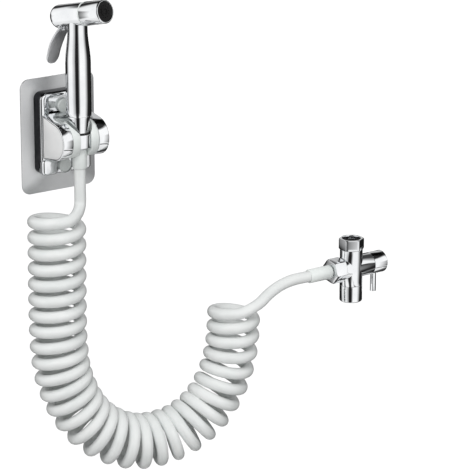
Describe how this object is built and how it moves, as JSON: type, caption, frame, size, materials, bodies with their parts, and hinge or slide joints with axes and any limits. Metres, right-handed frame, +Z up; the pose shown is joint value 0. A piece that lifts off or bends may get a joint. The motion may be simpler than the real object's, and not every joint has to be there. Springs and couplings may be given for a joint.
{
  "type": "handheld bath sprayer",
  "caption": "Handheld bath sprayer: trigger handset in a tilting wall cradle, coiled hose and tap diverter with a quarter-turn knob.",
  "frame": {"origin": "centre of the adhesive pad's back face, on the wall", "axes": "+X right along the wall, +Y into the wall, +Z up"},
  "size_m": [0.3638, 0.1177, 0.4773],
  "materials": {
    "foam": "closed-cell foam with adhesive faces",
    "satin_steel": "satin",
    "chrome_abs": "polished chrome plating",
    "cheek": "satin chrome-coloured",
    "cap_grey": "satin grey",
    "steel": "bright",
    "white_plastic": "moulded white",
    "hose_pu": "glossy white polyurethane",
    "black_rubber": "matt",
    "black_plastic": "matt",
    "brass": "turned"
  },
  "bodies": {
    "root": {"adhesive_pad": "foam", "wall_plate": "satin_steel", "bracket_housing": "chrome_abs", "bracket_screws": "steel", "screw_cap_top": "cap_grey", "screw_cap_bottom": "cap_grey", "cheek_cover_left": "cheek", "cheek_cover_right": "cheek", "friction_rings": "black_rubber", "hose_coil": "hose_pu", "hose_tail_tap": "hose_pu", "hose_sleeve_tap": "hose_pu", "hose_barb_tap": "brass", "tap_hose_gasket": "black_rubber", "diverter_body": "chrome_abs", "inlet_washer": "black_rubber", "nut_clip": "steel", "outlet_collar": "chrome_abs", "aerator": "cap_grey", "collar_seal": "black_rubber", "spool_gland": "brass"},
    "cradle": {"cradle_drum": "white_plastic", "pivot_screws": "steel"},
    "hose_end": {"hose_barb_top": "brass", "hose_sleeve_top": "hose_pu", "hose_tail_top": "hose_pu"},
    "handset": {"handle_shell": "chrome_abs", "handle_core": "white_plastic", "tail_cone": "chrome_abs", "tail_washer": "black_rubber", "handset_nut": "chrome_abs", "nut_gasket": "black_rubber", "head_body": "chrome_abs", "head_ring": "white_plastic", "nozzle_sleeve": "chrome_abs", "spray_face": "black_plastic", "nozzle_insert": "white_plastic", "valve_seat": "brass", "stem_gland": "brass", "valve_spring": "steel", "lever_pin": "steel"},
    "lever": {"trigger_lever": "chrome_abs"},
    "stem": {"valve_stem": "steel", "valve_seal": "black_rubber"},
    "knob": {"diverter_knob": "chrome_abs", "knob_screw": "steel", "spool": "brass", "spool_seals": "black_rubber"},
    "tap_nut": {"inlet_nut": "chrome_abs"},
    "hose_nut": {"tap_hose_nut": "chrome_abs"}
  },
  "joints": [
    {"name": "cradle_tilt", "type": "hinge", "parent": "root", "child": "cradle", "pos_m": [0, -0.034, 0.0008], "axis": [1, 0, 0], "range_deg": [0, 15]},
    {"name": "handset_lift", "type": "slide", "parent": "cradle", "child": "hose_end", "axis": [0, 0, 1], "range_m": [0, 0.05], "deforming": ["hose_tail_top"]},
    {"name": "handset_swivel", "type": "hinge", "parent": "hose_end", "child": "handset", "pos_m": [0, -0.039, 0], "axis": [0, 0, 1], "range_deg": [-90, 90]},
    {"name": "trigger_pull", "type": "hinge", "parent": "handset", "child": "lever", "pos_m": [-0.0038, -0.02173, 0.10797], "axis": [-0.9767, -0.2147, 0], "range_deg": [0, 12], "stiffness_Nm_per_rad": 0.5, "springref_deg": -5.73},
    {"name": "stem_slide", "type": "slide", "parent": "handset", "child": "stem", "axis": [0.2096, -0.9535, 0.2164], "range_m": [-0.002, 0], "deforming": ["valve_spring"]},
    {"name": "diverter_turn", "type": "hinge", "parent": "root", "child": "knob", "pos_m": [0.276, -0.105, -0.1585], "axis": [-1, 0, 0], "range_deg": [0, 90]},
    {"name": "tap_nut_turn", "type": "hinge", "parent": "root", "child": "tap_nut", "pos_m": [0.276, -0.105, -0.133], "axis": [0, 0, 1], "continuous": true},
    {"name": "hose_nut_turn", "type": "hinge", "parent": "root", "child": "hose_nut", "pos_m": [0.256, -0.105, -0.1585], "axis": [1, 0, 0], "continuous": true}
  ],
  "couplings": [
    {"joint": "stem_slide", "follows": "trigger_pull", "m_per_rad": -0.0085}
  ]
}
